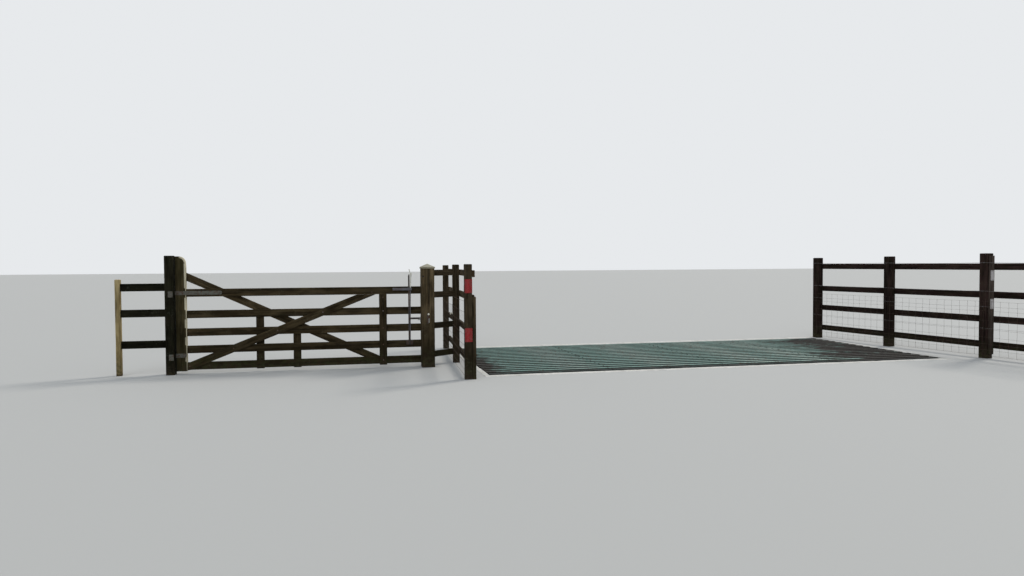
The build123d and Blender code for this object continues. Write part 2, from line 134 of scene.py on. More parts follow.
class Finish:
    """A finish mixed from nodes over a piece's own coordinates, and laid on coat by coat."""

    def __init__(self, name):
        self.material = bpy.data.materials.new(name)
        self.material.use_nodes = True
        self.tree = self.material.node_tree
        self.shader = self.tree.nodes["Principled BSDF"]
        self.where = self.add("TexCoord")["Object"]

    def add(self, kind, inputs=(), **settings):
        return add(self.tree, kind, inputs, **settings)

    def axis(self, letter, source=None):
        return self.add("SeparateXYZ", (self.where if source is None else source,))[letter]

    def stretched(self, scale, source=None):
        place = self.where if source is None else source
        return self.add("VectorMath", (place, scale), operation="MULTIPLY")["Vector"]

    def maths(self, operation, first, second=0.0, clamp=False):
        return self.add("Math", (first, second), operation=operation, use_clamp=clamp)["Value"]

    def times(self, *values):
        return reduce(lambda a, b: self.maths("MULTIPLY", a, b, True), values)

    def plus(self, *values):
        return reduce(lambda a, b: self.maths("ADD", a, b), values)

    def either(self, *values):
        return reduce(lambda a, b: self.maths("MAXIMUM", a, b), values)

    def ramp(self, value, low, high, first=0.0, last=1.0):
        """First where the value is low, last where it is high."""
        return self.add("MapRange", (value, low, high, first, last))["Result"]

    def between(self, first, last, share):
        return self.ramp(share, 0.0, 1.0, first, last)

    def patches(self, size, low, high, detail=3.0, rough=0.6, on=None):
        """Soft patches about size metres across, 0 below low and 1 above high."""
        cloud = self.add("TexNoise", {"Vector": self.where if on is None else on, "Scale": 1 / size,
                                      "Detail": detail, "Roughness": rough})
        return self.ramp(cloud["Fac"], low, high)

    def mixed(self, amount, first, second):
        return self.add("Mix", {0: amount, 6: first, 7: second}, data_type="RGBA")[2]

    def coat(self, amount, colour, share=None):
        """Lay a colour over the colour so far."""
        amount = amount if share is None else self.times(amount, share)
        self.colour = self.mixed(amount, self.colour, colour)

    def laid(self, rough, relief=None, strength=0.5, depth=0.0012, metal=None):
        """Join the colour, roughness, relief and metal to the shader. Gives the material."""
        joined = {"Base Color": self.colour, "Roughness": rough}
        if metal is not None:
            joined["Metallic"] = metal
        if relief is not None:
            bump = self.add("Bump", {"Height": relief, "Strength": strength, "Distance": depth})
            joined["Normal"] = bump["Normal"]
        for socket, value in joined.items():
            self.tree.links.new(value, self.shader.inputs[socket])
        return self.material


def concrete_finish():
    f = Finish("cast_concrete")
    height = f.axis("Z")
    f.colour = f.mixed(f.patches(0.4, 0.35, 0.65), (0.68, 0.67, 0.64), (0.56, 0.55, 0.515))
    f.coat(f.patches(0.05, 0.45, 0.75), (0.27, 0.26, 0.23), 0.5)
    sand = f.patches(0.004, 0.35, 0.65, 2)
    f.coat(sand, (0.6, 0.58, 0.53), 0.35)
    stones = f.add("TexVoronoi", {"Vector": f.where, "Scale": 85.0})
    stone = f.times(f.ramp(stones["Distance"], 0.34, 0.22), f.patches(0.09, 0.42, 0.6))
    f.coat(stone, stones["Color"], 0.55)
    f.coat(stone, (0.25, 0.23, 0.2), 0.7)
    smears = f.patches(1.0, 0.5, 0.7, on=f.stretched((7.0, 0.8, 1.0)))
    f.coat(smears, (0.24, 0.235, 0.22), 0.4)
    # Much darker below the kerbs' tops.
    low_darkening = f.ramp(height, 0.597, 0.56)
    f.coat(low_darkening, (0.1, 0.095, 0.08), 0.88)
    runs = f.patches(1.0, 0.48, 0.62, on=f.stretched((14.0, 14.0, 1.6)))
    f.coat(f.times(runs, low_darkening), (0.05, 0.047, 0.038), 0.75)
    green = f.times(f.patches(0.13, 0.47, 0.62, 5), f.ramp(height, 0.595, 0.56))
    f.coat(green, (0.055, 0.075, 0.022), 0.7)
    silt = f.times(f.ramp(height, 0.17, 0.09), f.patches(0.3, 0.3, 0.6, 6))
    f.coat(silt, (0.085, 0.062, 0.038))
    boards = f.maths("FRACT", f.maths("MULTIPLY", height, 6.5))
    seam = f.times(f.ramp(boards, 0.05, 0.02), low_darkening)
    relief = f.plus(f.times(sand, 0.25), f.times(f.patches(0.02, 0.3, 0.7, 4), 0.6), f.times(seam, 0.8),
                    f.times(stone, 0.35))
    return f.laid(f.between(0.93, 0.7, green), relief, 0.7, 0.003)


def finish_piece(mesh, name, finishes, slot, *stands_for, body="fixed_works", outward=True):
    """A finished mesh becomes a piece that rides on a body and stands for its nodes."""
    if outward:
        bmesh.ops.recalc_face_normals(mesh, faces=mesh.faces)
    data = bpy.data.meshes.new(name)
    mesh.normal_update()
    mesh.to_mesh(data)
    mesh.free()
    for finish in finishes if isinstance(finishes, tuple) else (finishes,):
        data.materials.append(finish)
    for face in data.polygons:
        face.use_smooth = True
    data.set_sharp_from_angle(angle=radians(38))
    piece = placed(name, data)
    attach(piece, body)
    if stands_for:
        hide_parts(*stands_for)
    return piece


def finish_nodes(finish, *nodes):
    for node in nodes:
        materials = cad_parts[node].data.materials
        materials.clear()
        materials.append(finish)


def bands(mesh, rings, first=0):
    """Faces from ring to ring of a mesh's points."""
    return [mesh.faces.new((a[k - 1], a[k], b[k], b[k - 1]))
            for a, b in zip(rings, rings[1:]) for k in range(first, len(a))]


def skin(mesh, rings, closed=True, foot=True, material=0):
    """A skin over rings of places, with a face at each end."""
    rings = [[mesh.verts.new(place) for place in ring] for ring in rings]
    faces = bands(mesh, rings, 0 if closed else 1)
    faces += [mesh.faces.new(rings[0])] if foot else []
    faces.append(mesh.faces.new(rings[-1][::-1]))
    for face in faces:
        face.material_index = material
    return faces


def uneven(x, y, z):
    return noise.noise(Vector((x, y, z)))


def cast_wall(outline, place, half, step):
    """A wall of one outline along its length. Its outer corners are worn and chipped here and there."""
    margin, worn_corner, worn_beside, worn_face = 0.012, 1.0, 0.22, 0.06
    rubbed, ripple, chip_depth, chip_from, deepest = 0.0025, 0.0015, 0.034, 0.36, 0.016
    loop = []
    for i in range(len(outline)):
        before, corner, after = (Vector(outline[j % len(outline)]) for j in (i - 1, i, i + 1))
        back, ahead = (before - corner).normalized(), (after - corner).normalized()
        outer = (corner - before).cross(after - corner) > 0
        loop.append((corner, (back + ahead).normalized(), worn_corner if outer else 0.0))
        length = (after - corner).length
        if length < 0.03:
            continue
        pieces = max(1, round((length - 2 * margin) / 0.05))
        for k in range(pieces + 1):
            at = corner + ahead * (margin + (length - 2 * margin) * k / pieces)
            loop.append((at, Vector((-ahead.y, ahead.x)), worn_beside if k in (0, pieces) else worn_face))
    rings = []
    stations = max(2, round(2 * half / step))
    for s in range(stations + 1):
        u = half * (2 * s / stations - 1)
        ring = []
        for point, inward, wear in loop:
            rough = uneven(u * 7, point.x * 9, point.y * 9)
            chip = uneven(u * 3.1, point.x * 3, 7.3) + 0.6 * uneven(u * 17, 2.1, point.y)
            depth = wear * (rubbed + ripple * rough + chip_depth * max(0, chip - chip_from))
            ring.append(place(u, *(point + inward * max(0, min(depth, deepest)))))
        rings.append(ring)
    mesh = bmesh.new()
    skin(mesh, rings)
    return mesh


concrete = concrete_finish()
slab_top, seat, pit_end, end_seat, chamfer = pit_high.z, 0.373, 1.85, 0.15, 0.012
pit_side, side_top, side_seat = pit_high.x, pit_high.x - 0.08, pit_high.x - 0.2
end_outline = [(pit_high.y, slab_top), (pit_high.y, deck_level), (pit_end + chamfer, deck_level),
               (pit_end, deck_level - chamfer), (pit_end, seat), (pit_end - end_seat, seat),
               (pit_end - end_seat, slab_top)]
side_outline = [(pit_side, slab_top), (pit_side, deck_level), (side_top, deck_level), (side_top, seat),
                (side_seat, seat), (side_seat, slab_top)]
for side, outline, place, half, step in (
        ("near", end_outline, lambda u, s, h: (u, -s, h), pit_side, 0.03),
        ("far", end_outline, lambda u, s, h: (u, s, h), pit_side, 0.03),
        ("left", side_outline, lambda u, s, h: (-s, u, h), pit_end, 0.05),
        ("right", side_outline, lambda u, s, h: (s, u, h), pit_end, 0.05)):
    finish_piece(cast_wall(outline, place, half, step), f"pit_{side}_wall", concrete, "concrete",
                 f"pit_wall_{side}")
finish_nodes(concrete, "pit_floor")

# The deck joists: rolled steel joists seated on the pit's ledges, galvanised once and now rusty. Rust
# blooms from the flange edges and under the welds, and brown run-off marks the webs.


def steel_finish(name, plain, dull, rust_low, rust_high, metal, rough, dirt=None):
    """Zinc or bare steel with a faint spangle, and rust that breaks through it."""
    f = Finish(name)
    f.colour = f.mixed(f.patches(0.05, 0.35, 0.65, 4), plain, dull)
    spangle = f.add("TexVoronoi", {"Vector": f.where, "Scale": 120.0})["Color"]
    f.coat(f.add("SeparateColor", (spangle,))["Red"], tuple(min(1, 1.7 * value) for value in plain), 0.4)
    rust = f.either(f.patches(0.03, rust_low, rust_high, 6, 0.68),
                    f.patches(0.35, rust_low + 0.03, rust_high + 0.1, 7, 0.72))
    f.coat(rust, f.mixed(f.patches(0.012, 0.4, 0.6), (0.085, 0.04, 0.02), (0.042, 0.022, 0.014)))
    if dirt:
        f.coat(f.patches(0.08, 0.42, 0.7, 5), dirt, 0.8)
    pits = f.times(f.patches(0.004, 0.3, 0.7, 3), 0.3)
    return f.laid(f.between(rough, 0.92, f.either(rust, pits)), f.plus(f.times(rust, 0.6), pits),
                  metal=f.between(metal, 0.0, rust))


joist_steel = steel_finish(
    "rusty_joists", (0.13, 0.125, 0.12), (0.09, 0.08, 0.07), 0.42, 0.56, 0.3, 0.6, (0.07, 0.052, 0.034))
half_flange = 0.076


def joist_outline():
    """Half the outline of a rolled joist, flange tips and root corners rounded, then mirrored."""
    flange, tip, web, depth, root = 0.009, 0.003, 0.0035, 0.076, 0.01
    points = [(half_flange, depth)]
    points += [(half_flange - tip + tip * cos(a), depth - flange + tip - tip * sin(a))
               for a in (radians(30 * k) for k in range(4))]
    points += [(web + root + root * cos(a), depth - flange - root + root * sin(a))
               for a in (radians(90 + 22.5 * k) for k in range(5))]
    right = points + [(x, -z) for x, z in reversed(points)]
    return right + [(-x, z) for x, z in reversed(right)]


def joist_middles(number):
    low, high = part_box(f"bearers_{number}")
    return low.x + half_flange, (low.x + high.x) / 2, high.x - half_flange


for number in range(1, 5):
    joists = bmesh.new()
    low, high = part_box(f"bearers_{number}")
    for middle in joist_middles(number):
        skin(joists, [[(middle + x, low.y + (high.y - low.y) * s / 12, (low.z + high.z) / 2 + z)
                       for x, z in joist_outline()] for s in range(13)])
    finish_piece(joists, f"joists_{number}", joist_steel, "joist_steel", f"bearers_{number}")

# The deck bars: flat-topped hollow section steel, seventeen to a panel, once painted a grey green. Use has
# polished four tracks, the paint has faded, and mud cakes both ends, with painted shadow over the right end.
# Painted shade darkens the bars' sides, and the nearest bar is painted near black as shade.


def deck_finish():
    f = Finish("deck_paint")
    x, y = f.axis("X"), f.axis("Y")
    up = f.axis("Z", f.add("NewGeometry")["Normal"])
    along = f.stretched((1.0, 9.0, 9.0))
    f.colour = f.mixed(f.patches(0.5, 0.35, 0.65, 5, on=along), (0.103, 0.215, 0.181), (0.144, 0.268, 0.236))
    f.coat(f.patches(0.03, 0.45, 0.75, 4), (0.085, 0.13, 0.11), 0.5)
    tracks = [f.ramp(f.maths("ABSOLUTE", f.plus(x, -middle)), 0.52, 0.12)
              for middle in (-2.4, -0.9, 0.75, 1.75)]
    worn = f.plus(f.times(f.either(*tracks), 0.34), f.patches(0.09, 0.2, 0.8, 6, 0.7, along))
    worn = f.times(f.ramp(worn, 0.62, 0.8), f.ramp(up, 0.55, 0.9))
    f.coat(worn, (0.222, 0.298, 0.272))
    # Painted shade: the bars' sides and undersides are darkened by their facing, with patches of grime on the
    # tops too.
    shade_and_grime = f.plus(f.ramp(up, 0.75, 0.2), f.times(f.patches(0.07, 0.5, 0.7, 5, on=along), 0.35))
    f.coat(shade_and_grime, (0.02, 0.024, 0.02), 0.8)
    rust = f.either(f.patches(0.06, 0.55, 0.64, 7, 0.72),
                    f.times(f.patches(0.05, 0.52, 0.6, 6, on=along), f.ramp(up, 0.3, -0.4)))
    f.coat(rust, (0.085, 0.045, 0.026), 0.8)
    # The left end is mud; the right end, beyond a slanted edge, is painted shadow as well as mud.
    left = f.plus(f.ramp(x, -3.3, -3.9), f.patches(0.25, 0.3, 0.7, 6))
    slanted = f.plus(x, f.maths("MULTIPLY", y, -0.25))
    right = f.plus(f.ramp(slanted, 1.95, 3.2), f.patches(0.35, 0.3, 0.7, 6))
    film = f.times(f.patches(0.2, 0.45, 0.7, 6, on=along), 0.35)
    mud_and_shadow = f.either(f.ramp(f.either(left, right), 0.8, 1.3), film)
    f.coat(mud_and_shadow, f.mixed(f.patches(0.02, 0.4, 0.6, 4), (0.05, 0.044, 0.037), (0.024, 0.021, 0.018)))
    # Painted shade: the nearest row of bars is painted near black in patches, standing in for the shade along
    # the near kerb.
    near_row_shade = f.times(f.ramp(y, -1.66, -1.67), f.patches(0.25, 0.2, 0.4, 5, on=along))
    f.coat(near_row_shade, (0.014, 0.015, 0.014), 0.92)
    metal = f.times(worn, f.maths("SUBTRACT", 1.0, mud_and_shadow, True))
    rough = f.between(f.between(0.6, 0.5, metal), 0.95, f.either(mud_and_shadow, rust, near_row_shade))
    relief = f.plus(f.times(f.patches(0.006, 0.3, 0.7, 3), 0.3), f.times(mud_and_shadow, 0.8))
    return f.laid(rough, relief, 0.5, 0.0015, metal)


deck_paint = deck_finish()
bar_half, bar_corner, bar_wall, inner_reach = 0.0375, 0.008, 0.005, 0.06
top_dent, side_dent = 0.0016, 0.0004
bar_middle = deck_level - bar_half
bar_rows = [(row - 8) * 0.215 for row in range(17)]


def bar_outline(half, radius):
    """Points round a square tube, as (sideways, height)."""
    flat = half - radius
    corner = [(flat + radius * cos(a), flat + radius * sin(a)) for a in (radians(22.5 * k) for k in range(5))]
    side = corner + [(flat * (1 - 2 * share), half) for share in (0.25, 0.5, 0.75)]
    return [(x * cos(t) - z * sin(t), x * sin(t) + z * cos(t))
            for t in (radians(90 * quarter) for quarter in range(4)) for x, z in side]


outside = bar_outline(bar_half, bar_corner)
inside = bar_outline(bar_half - bar_wall, bar_corner - bar_wall + 0.001)
for number in range(1, 5):
    low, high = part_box(f"bars_{number}")
    bars = bmesh.new()
    for row, y in enumerate(bar_rows):
        bore = [[(x, y + a, bar_middle + b) for a, b in inside]
                for x in (low.x + inner_reach, low.x, high.x, high.x - inner_reach)]
        rings = bore[:2]
        for s in range(29):
            x = low.x + (high.x - low.x) * s / 28
            ring = []
            for a, b in outside:
                dent = uneven(x * 5.5, row * 3.7, a * 20) + 0.5 * uneven(x * 19, row, b * 30)
                pressed = top_dent * max(0, dent - 0.1) if b > 0.02 else side_dent * max(0, dent)
                scale = 1 - pressed / bar_half
                ring.append((x, y + a * scale, bar_middle + b * scale))
            rings.append(ring)
        skin(bars, rings + bore[2:])
    finish_piece(bars, f"deck_bars_{number}", deck_paint, "deck_steel", f"bars_{number}")

# Weld beads: each bar is fillet welded along both sides where it crosses a joist's top flange. The beads are
# bare steel, laid by hand, so they swell in waves and rust before the rest.
weld_steel = steel_finish("weld_beads", (0.16, 0.15, 0.14), (0.1, 0.09, 0.08), 0.36, 0.5, 0.4, 0.55)
bead_length, bead_in, bead_low = 0.13, bar_half - 0.002, deck_level - 2 * bar_half - 0.001
quarter_turn = [radians(30 * k) for k in range(4)]
beads = bmesh.new()
for middle in [middle for number in range(1, 5) for middle in joist_middles(number)]:
    for row, y in enumerate(bar_rows):
        for side in (-1, 1):
            rings = []
            for s in range(9):
                swell = 0.0065 + 0.0018 * sin(s * 2.4 + row) if 0 < s < 8 else 0.002
                x = middle + (s / 8 - 0.5) * bead_length
                rings.append([(x, y + side * (bead_in + swell * cos(a)), bead_low + swell * sin(a))
                              for a in quarter_turn])
            skin(beads, rings, closed=False)
finish_piece(beads, "weld_beads", weld_steel, "deck_steel")

# The left wing fence: three sawn softwood posts with four rails nailed to them, stained dark brown and
# weathered, with a short batten in front of the rail ends. Arrises are rubbed, faces are split by drying,
# and the feet are green and splashed with earth.


def plain_mesh(node):
    """A node's solids, with each flat face in one piece."""
    shape = bmesh.new()
    shape.from_mesh(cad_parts[node].data)
    bmesh.ops.remove_doubles(shape, verts=shape.verts, dist=1e-5)
    bmesh.ops.dissolve_limit(shape, angle_limit=0.01, verts=shape.verts, edges=shape.edges)
    shape.normal_update()
    return shape


def measured(node):
    """Each solid of a node: its middle, its three directions (length, width, thickness), its three sizes,
    and the planes that cut its ends or corners."""
    square_on, smallest_cut = 0.9994, 0.007
    shape = plain_mesh(node)
    done, solids = set(), []
    for first in shape.verts:
        if first in done:
            continue
        group = [first]
        done.add(first)
        for vert in group:
            for other in (edge.other_vert(vert) for edge in vert.link_edges):
                if other not in done:
                    done.add(other)
                    group.append(other)
        edges = list(dict.fromkeys(e for v in group for e in v.link_edges))
        faces = list(dict.fromkeys(f for v in group for f in v.link_faces))
        longest = max(edges, key=lambda e: round(e.calc_length(), 5))
        length = (longest.verts[1].co - longest.verts[0].co).normalized()
        if length.z < -0.7 or (abs(length.z) <= 0.7 and length.x + 0.3 * length.y < 0):
            length = -length
        flat = [f for f in faces if abs(f.normal.dot(length)) < 0.05]
        thick = max(flat, key=lambda f: round(f.calc_area(), 5)).normal.copy()
        thick = (thick - length * thick.dot(length)).normalized()
        if thick.y + 0.3 * thick.x < 0:
            thick = -thick
        axes = (length, thick.cross(length), thick)
        spans = []
        for axis in axes:
            places = [axis.dot(v.co) for v in group]
            spans.append((min(places), max(places)))
        middle = sum((axis * (a + b) / 2 for axis, (a, b) in zip(axes, spans)), Vector())
        size = [b - a for a, b in spans]
        cuts = []
        for face in faces:
            normal, at = face.normal.copy(), face.calc_center_median()
            if max(abs(normal.dot(axis)) for axis in axes) > square_on:
                continue
            cut_off = (middle - at).dot(normal) + sum(abs(normal.dot(a)) * s / 2 for a, s in zip(axes, size))
            if cut_off > smallest_cut and all((v.co - at).dot(normal) < 1e-4 for v in group):
                cuts.append((at, normal))
        solids.append(SimpleNamespace(middle=middle, axes=axes, size=size, cuts=cuts))
    shape.free()
    return solids


def section(half_wide, half_thick, arris, splits):
    """Points round a sawn section: place, inward direction, how much the arris wears, and the split there."""
    spacing, room = 0.019, 0.007
    corners = [Vector((x * half_wide, y * half_thick)) for x, y in ((1, 1), (-1, 1), (-1, -1), (1, -1))]
    points = []
    for side in range(4):
        previous, corner, following = corners[side - 1], corners[side], corners[(side + 1) % 4]
        length = (following - corner).length
        ahead = (following - corner).normalized()
        bisector = (ahead + (previous - corner).normalized()).normalized()
        points.append((corner + bisector * arris * 0.42, bisector, 1.0, None))
        steps = max(1, round((length - 2 * arris) / spacing))
        places = [(arris + (length - 2 * arris) * k / steps, 0.0 if 0 < k < steps else 0.3, None)
                  for k in range(steps + 1)]
        for number, (split_side, share, width) in enumerate(splits):
            if split_side == side:
                at = length * share
                places = [p for p in places if abs(p[0] - at) > room or p[1]]
                places += [(at - width, 0.0, None), (at, 0.0, number), (at + width, 0.0, None)]
        inward = Vector((-ahead.y, ahead.x))
        points += [(corner + ahead * at, inward, wear, split)
                   for at, wear, split in sorted(places, key=lambda p: p[0])]
    return points


def sawn(name, node, finish, seed, slot="dark_timber", body="fixed_works", arris=0.004, top=0.002, splits=2,
         deep=0.01, step=0.045, tenons=None, proud=0.0):
    """Sawn timber for every solid of a node, with rubbed arrises, hollows and drying splits, all kept inside
    the solid. Its grain, its own tone and its end grain are stored for the finish. Tenons are given as the
    lengths at the start and at the end and their thickness. They stand a little through at the end."""
    hollow, ripple, rubbed, dent, dent_from = 0.0006, 0.0006, 0.0012, 0.004, 0.62
    mesh = bmesh.new()
    grain = mesh.verts.layers.float_vector.new("grain")
    tone = mesh.verts.layers.float.new("tone")
    ends = mesh.verts.layers.float.new("end_grain")
    for number, solid in enumerate(measured(node)):
        rng = random.Random(seed * 100 + number)
        length, wide, thick = solid.axes
        long, half_wide, half_thick = solid.size[0], solid.size[1] / 2, solid.size[2] / 2 + proud / 2
        middle = solid.middle + thick * proud / 2
        waist, shoulders = 1.0, ()
        if tenons:
            long, middle = long + 0.0012, middle + length * 0.0006
            waist = min(1.0, tenons[2] / (2 * half_thick))
        if waist < 0.9:
            shoulders = (tenons[0], long - tenons[1])
        sides = [0, 2] if half_thick < half_wide * 0.7 else [0, 1, 2, 3]
        cracks = [(rng.choice(sides), rng.uniform(0.22, 0.78), rng.uniform(0.0009, 0.0018))
                  for _ in range(splits)]
        ranges = []
        for _ in cracks:
            start = rng.uniform(-0.2, 0.75) * long
            ranges.append((start, start + rng.uniform(0.18, 0.6) * long, rng.uniform(0.4, 1) * deep))
        points = section(half_wide, half_thick, arris, cracks)
        pith = Vector((rng.uniform(0, 40), rng.uniform(-0.09, 0.09), rng.uniform(-0.09, 0.09)))
        shade = rng.random()
        own, rings = [], []

        def grown(u, across, through, end, back=0.0):
            """A point of this timber, with its place in the grain."""
            vert = mesh.verts.new(middle + length * (u - long / 2 + back) + wide * across + thick * through)
            vert[grain] = Vector((u, across, through)) + pith
            vert[tone], vert[ends] = shade, end
            own.append(vert)
            return vert

        def ring_at(u, inset, end, back=0.0):
            ring = []
            for k, (place, inward, wear, split) in enumerate(points):
                rub = uneven(u * 3.3 + pith.x, k * 0.7, 1.5) + 0.5 * uneven(u * 15, k, pith.x)
                depth = hollow + ripple * uneven(u * 1.7, place.x * 14 + pith.x, place.y * 14)
                worn = rubbed + arris * 0.9 * max(0, rub) ** 1.5
                depth += wear * (worn + (dent if rub > dent_from else 0))
                if split is not None:
                    first, last, full = ranges[split]
                    if first < u < last:
                        depth += full * sqrt(sin(pi * (u - first) / (last - first)))
                p = place + inward * min(depth, half_thick * 0.8)
                across, through = p.x * (1 - inset / half_wide), p.y * (1 - inset / half_thick)
                if shoulders and not shoulders[0] <= u <= shoulders[1]:
                    through *= waist
                ring.append(grown(u, across, through, end, back))
            rings.append(ring)

        low_end = min(top, 0.003)
        ring_at(0, half_thick * 0.5, 1, 0.0008)
        ring_at(0, low_end, 1)
        count = max(2, round((long - low_end - top) / step))
        stations = [low_end + (long - low_end - top) * k / count for k in range(count + 1)]
        for shoulder in shoulders:
            stations = [u for u in stations if abs(u - shoulder) > 0.002]
        for u in sorted(stations + [shoulder + gap for shoulder in shoulders for gap in (-0.0005, 0.0005)]):
            ring_at(u, 0, 0)
        ring_at(long, top, 1)
        ring_at(long, half_thick * 0.5, 1, -0.0012)
        faces = bands(mesh, rings)
        for ring, u in ((rings[0], 0.0012), (rings[-1], long - 0.002)):
            heart = grown(u, 0, 0, 1)
            faces += [mesh.faces.new((ring[k - 1], ring[k], heart)) for k in range(len(ring))]
        bmesh.ops.recalc_face_normals(mesh, faces=faces)
        for at, normal in solid.cuts:
            own = [v for v in own if v.is_valid]
            geometry = own + list(dict.fromkeys(e for v in own for e in v.link_edges))
            geometry += list(dict.fromkeys(f for v in own for f in v.link_faces))
            cut = bmesh.ops.bisect_plane(mesh, geom=geometry, plane_co=at, plane_no=normal,
                                         clear_outer=True)["geom_cut"]
            own = [v for v in own if v.is_valid] + [v for v in cut if isinstance(v, bmesh.types.BMVert)]
            edges = [e for e in cut if isinstance(e, bmesh.types.BMEdge)]
            if edges:
                bmesh.ops.contextual_create(mesh, geom=edges)
    return finish_piece(mesh, name, finish, slot, node, body=body, outward=False)


def timber_finish(name, heart, deep, pale, silver, moss=(0.03, 0.036, 0.013), mossy=0.15, earth_height=0.25,
                  lichen=0.3, low_darkening=0.6, sunlit_highlight=None, rounding=None):
    """Weathered timber. Its streaks follow the stored grain, and a darkening low down, dirt and moss follow
    the height.
    A sunlit side is painted pale as a painted highlight, here the side towards +X, its right arris and its
    arris round a corner, given by the corner's middle and radius."""
    f = Finish(name)
    grain = f.add("Attribute", attribute_name="grain")["Vector"]
    tone = f.add("Attribute", attribute_name="tone")["Fac"]
    ends = f.add("Attribute", attribute_name="end_grain")["Fac"]
    height = f.plus(f.axis("Z"), -foot_level)
    up = f.axis("Z", f.add("NewGeometry")["Normal"])
    dark = tuple(value * 0.6 for value in deep)

    def streaks(length, width, low, high, detail):
        return f.patches(1.0, low, high, detail, on=f.stretched((length, width, width), grain))

    fibre = streaks(5.0, 230.0, 0.3, 0.7, 5)
    rings = f.add("TexWave", {
        "Vector": f.stretched((0.12, 1.0, 1.0), grain), "Scale": 34.0, "Distortion": 3.5, "Detail": 3.0,
        "Detail Scale": 1.6}, wave_type="RINGS", rings_direction="X")
    late = f.ramp(rings["Fac"], 0.55, 0.95)
    f.colour = f.mixed(streaks(0.8, 24.0, 0.35, 0.65, 4), deep, heart)
    f.coat(fibre, pale, 0.42)
    f.coat(late, deep, 0.5)
    f.coat(streaks(0.7, 30.0, 0.42, 0.6, 3), dark, 0.85)
    f.coat(streaks(3.0, 12.0, 0.45, 0.7, 5), pale, 0.65)
    # Painted highlight: the sunlit +X side, its thin right arris and the arris round the head are painted
    # pale.
    if sunlit_highlight:
        x, z = f.axis("X"), f.axis("Z")
        facing_x = f.axis("X", f.add("TexCoord")["Normal"])
        middle_x, middle_z, radius = rounding
        right_face = middle_x + radius
        offset = f.add("VectorMath", (f.where, (middle_x, 0, middle_z)), operation="SUBTRACT")["Vector"]
        offset = f.add("VectorMath", (f.stretched((1.0, 0.0, 1.0), offset),), operation="LENGTH")["Value"]
        arris = f.times(f.ramp(offset, radius - 0.026, radius - 0.02), f.ramp(x, middle_x, middle_x + 0.02),
                        f.ramp(z, middle_z - 0.01, middle_z + 0.01))
        edge = f.ramp(x, right_face - 0.011, right_face - 0.007)
        side = f.times(f.ramp(facing_x, 0.25, 0.45), f.ramp(x, right_face - 0.03, right_face - 0.026))
        f.coat(f.times(f.either(side, arris, edge), f.ramp(fibre, -0.6, 0.5)), sunlit_highlight)
    f.colour = f.add("HueSaturation", {"Color": f.colour, "Value": f.between(0.72, 1.25, tone)})["Color"]
    weathered = f.either(f.times(f.patches(0.22, 0.35, 0.7, 4), f.ramp(up, 0.1, 0.9)),
                         f.times(streaks(2.0, 40.0, 0.5, 0.75, 4), 0.35))
    f.coat(weathered, silver, 0.8)
    crack = streaks(2.2, 95.0, 0.66, 0.72, 2)
    f.coat(crack, (0.012, 0.009, 0.007), 0.8)
    ringed = f.mixed(late, (heart[0] * 1.1, heart[1] * 1.05, heart[2]), tuple(value * 0.8 for value in deep))
    f.coat(ends, ringed, 0.8)
    # Darker towards the bottom, in patches.
    f.coat(f.times(f.ramp(height, 0.95, 0.15), f.patches(0.3, 0.0, 0.5, 4)), dark, low_darkening)
    green = f.times(f.patches(0.1, 0.42, 0.62, 6, 0.65), mossy)
    low_green = f.times(f.patches(0.07, 0.42, 0.6, 6), f.ramp(height, 0.32, 0.02))
    f.coat(f.either(green, low_green), moss, 0.75)
    spots = f.add("TexVoronoi", {"Vector": f.where, "Scale": 42.0})["Distance"]
    spots = f.times(f.ramp(spots, 0.36, 0.24), f.patches(0.16, 0.52, 0.64, 4), f.ramp(up, -0.3, 0.8))
    f.coat(spots, (0.3, 0.32, 0.23), lichen)
    soil = f.mixed(f.patches(0.03, 0.4, 0.6, 4), (0.055, 0.041, 0.027), (0.026, 0.02, 0.014))
    f.coat(f.times(f.ramp(height, earth_height, 0.0), f.patches(0.05, 0.3, 0.65, 6)), soil, 0.7)
    f.coat(f.ramp(height, 0.004, -0.03), soil, 0.85)
    relief = f.plus(f.times(fibre, 0.5), f.times(late, 0.28), f.times(spots, 0.5))
    f.shader.inputs["Specular IOR Level"].default_value = 0.035
    return f.laid(f.between(0.72, 0.93, fibre), f.maths("SUBTRACT", relief, crack), 0.75, 0.0022)


dark_timber = timber_finish(
    "dark_stained_timber", (0.046, 0.031, 0.017), (0.017, 0.012, 0.007), (0.11, 0.08, 0.048),
    (0.1, 0.085, 0.06), low_darkening=0.8)
sawn("left_posts", "left_wing_posts", dark_timber, 1, top=0.008, splits=5)
sawn("left_rails", "left_wing_rails", dark_timber, 2, splits=3, deep=0.006)
sawn("left_batten", "left_wing_batten", dark_timber, 3, top=0.008)

# Nails: galvanised wire nails, two at each crossing of a rail and a post. They are driven by hand, a little
# out of line, until their heads are almost flush, and the heads rust.
nail_steel = steel_finish("nail_heads", (0.2, 0.195, 0.19), (0.13, 0.12, 0.11), 0.4, 0.52, 0.5, 0.5)


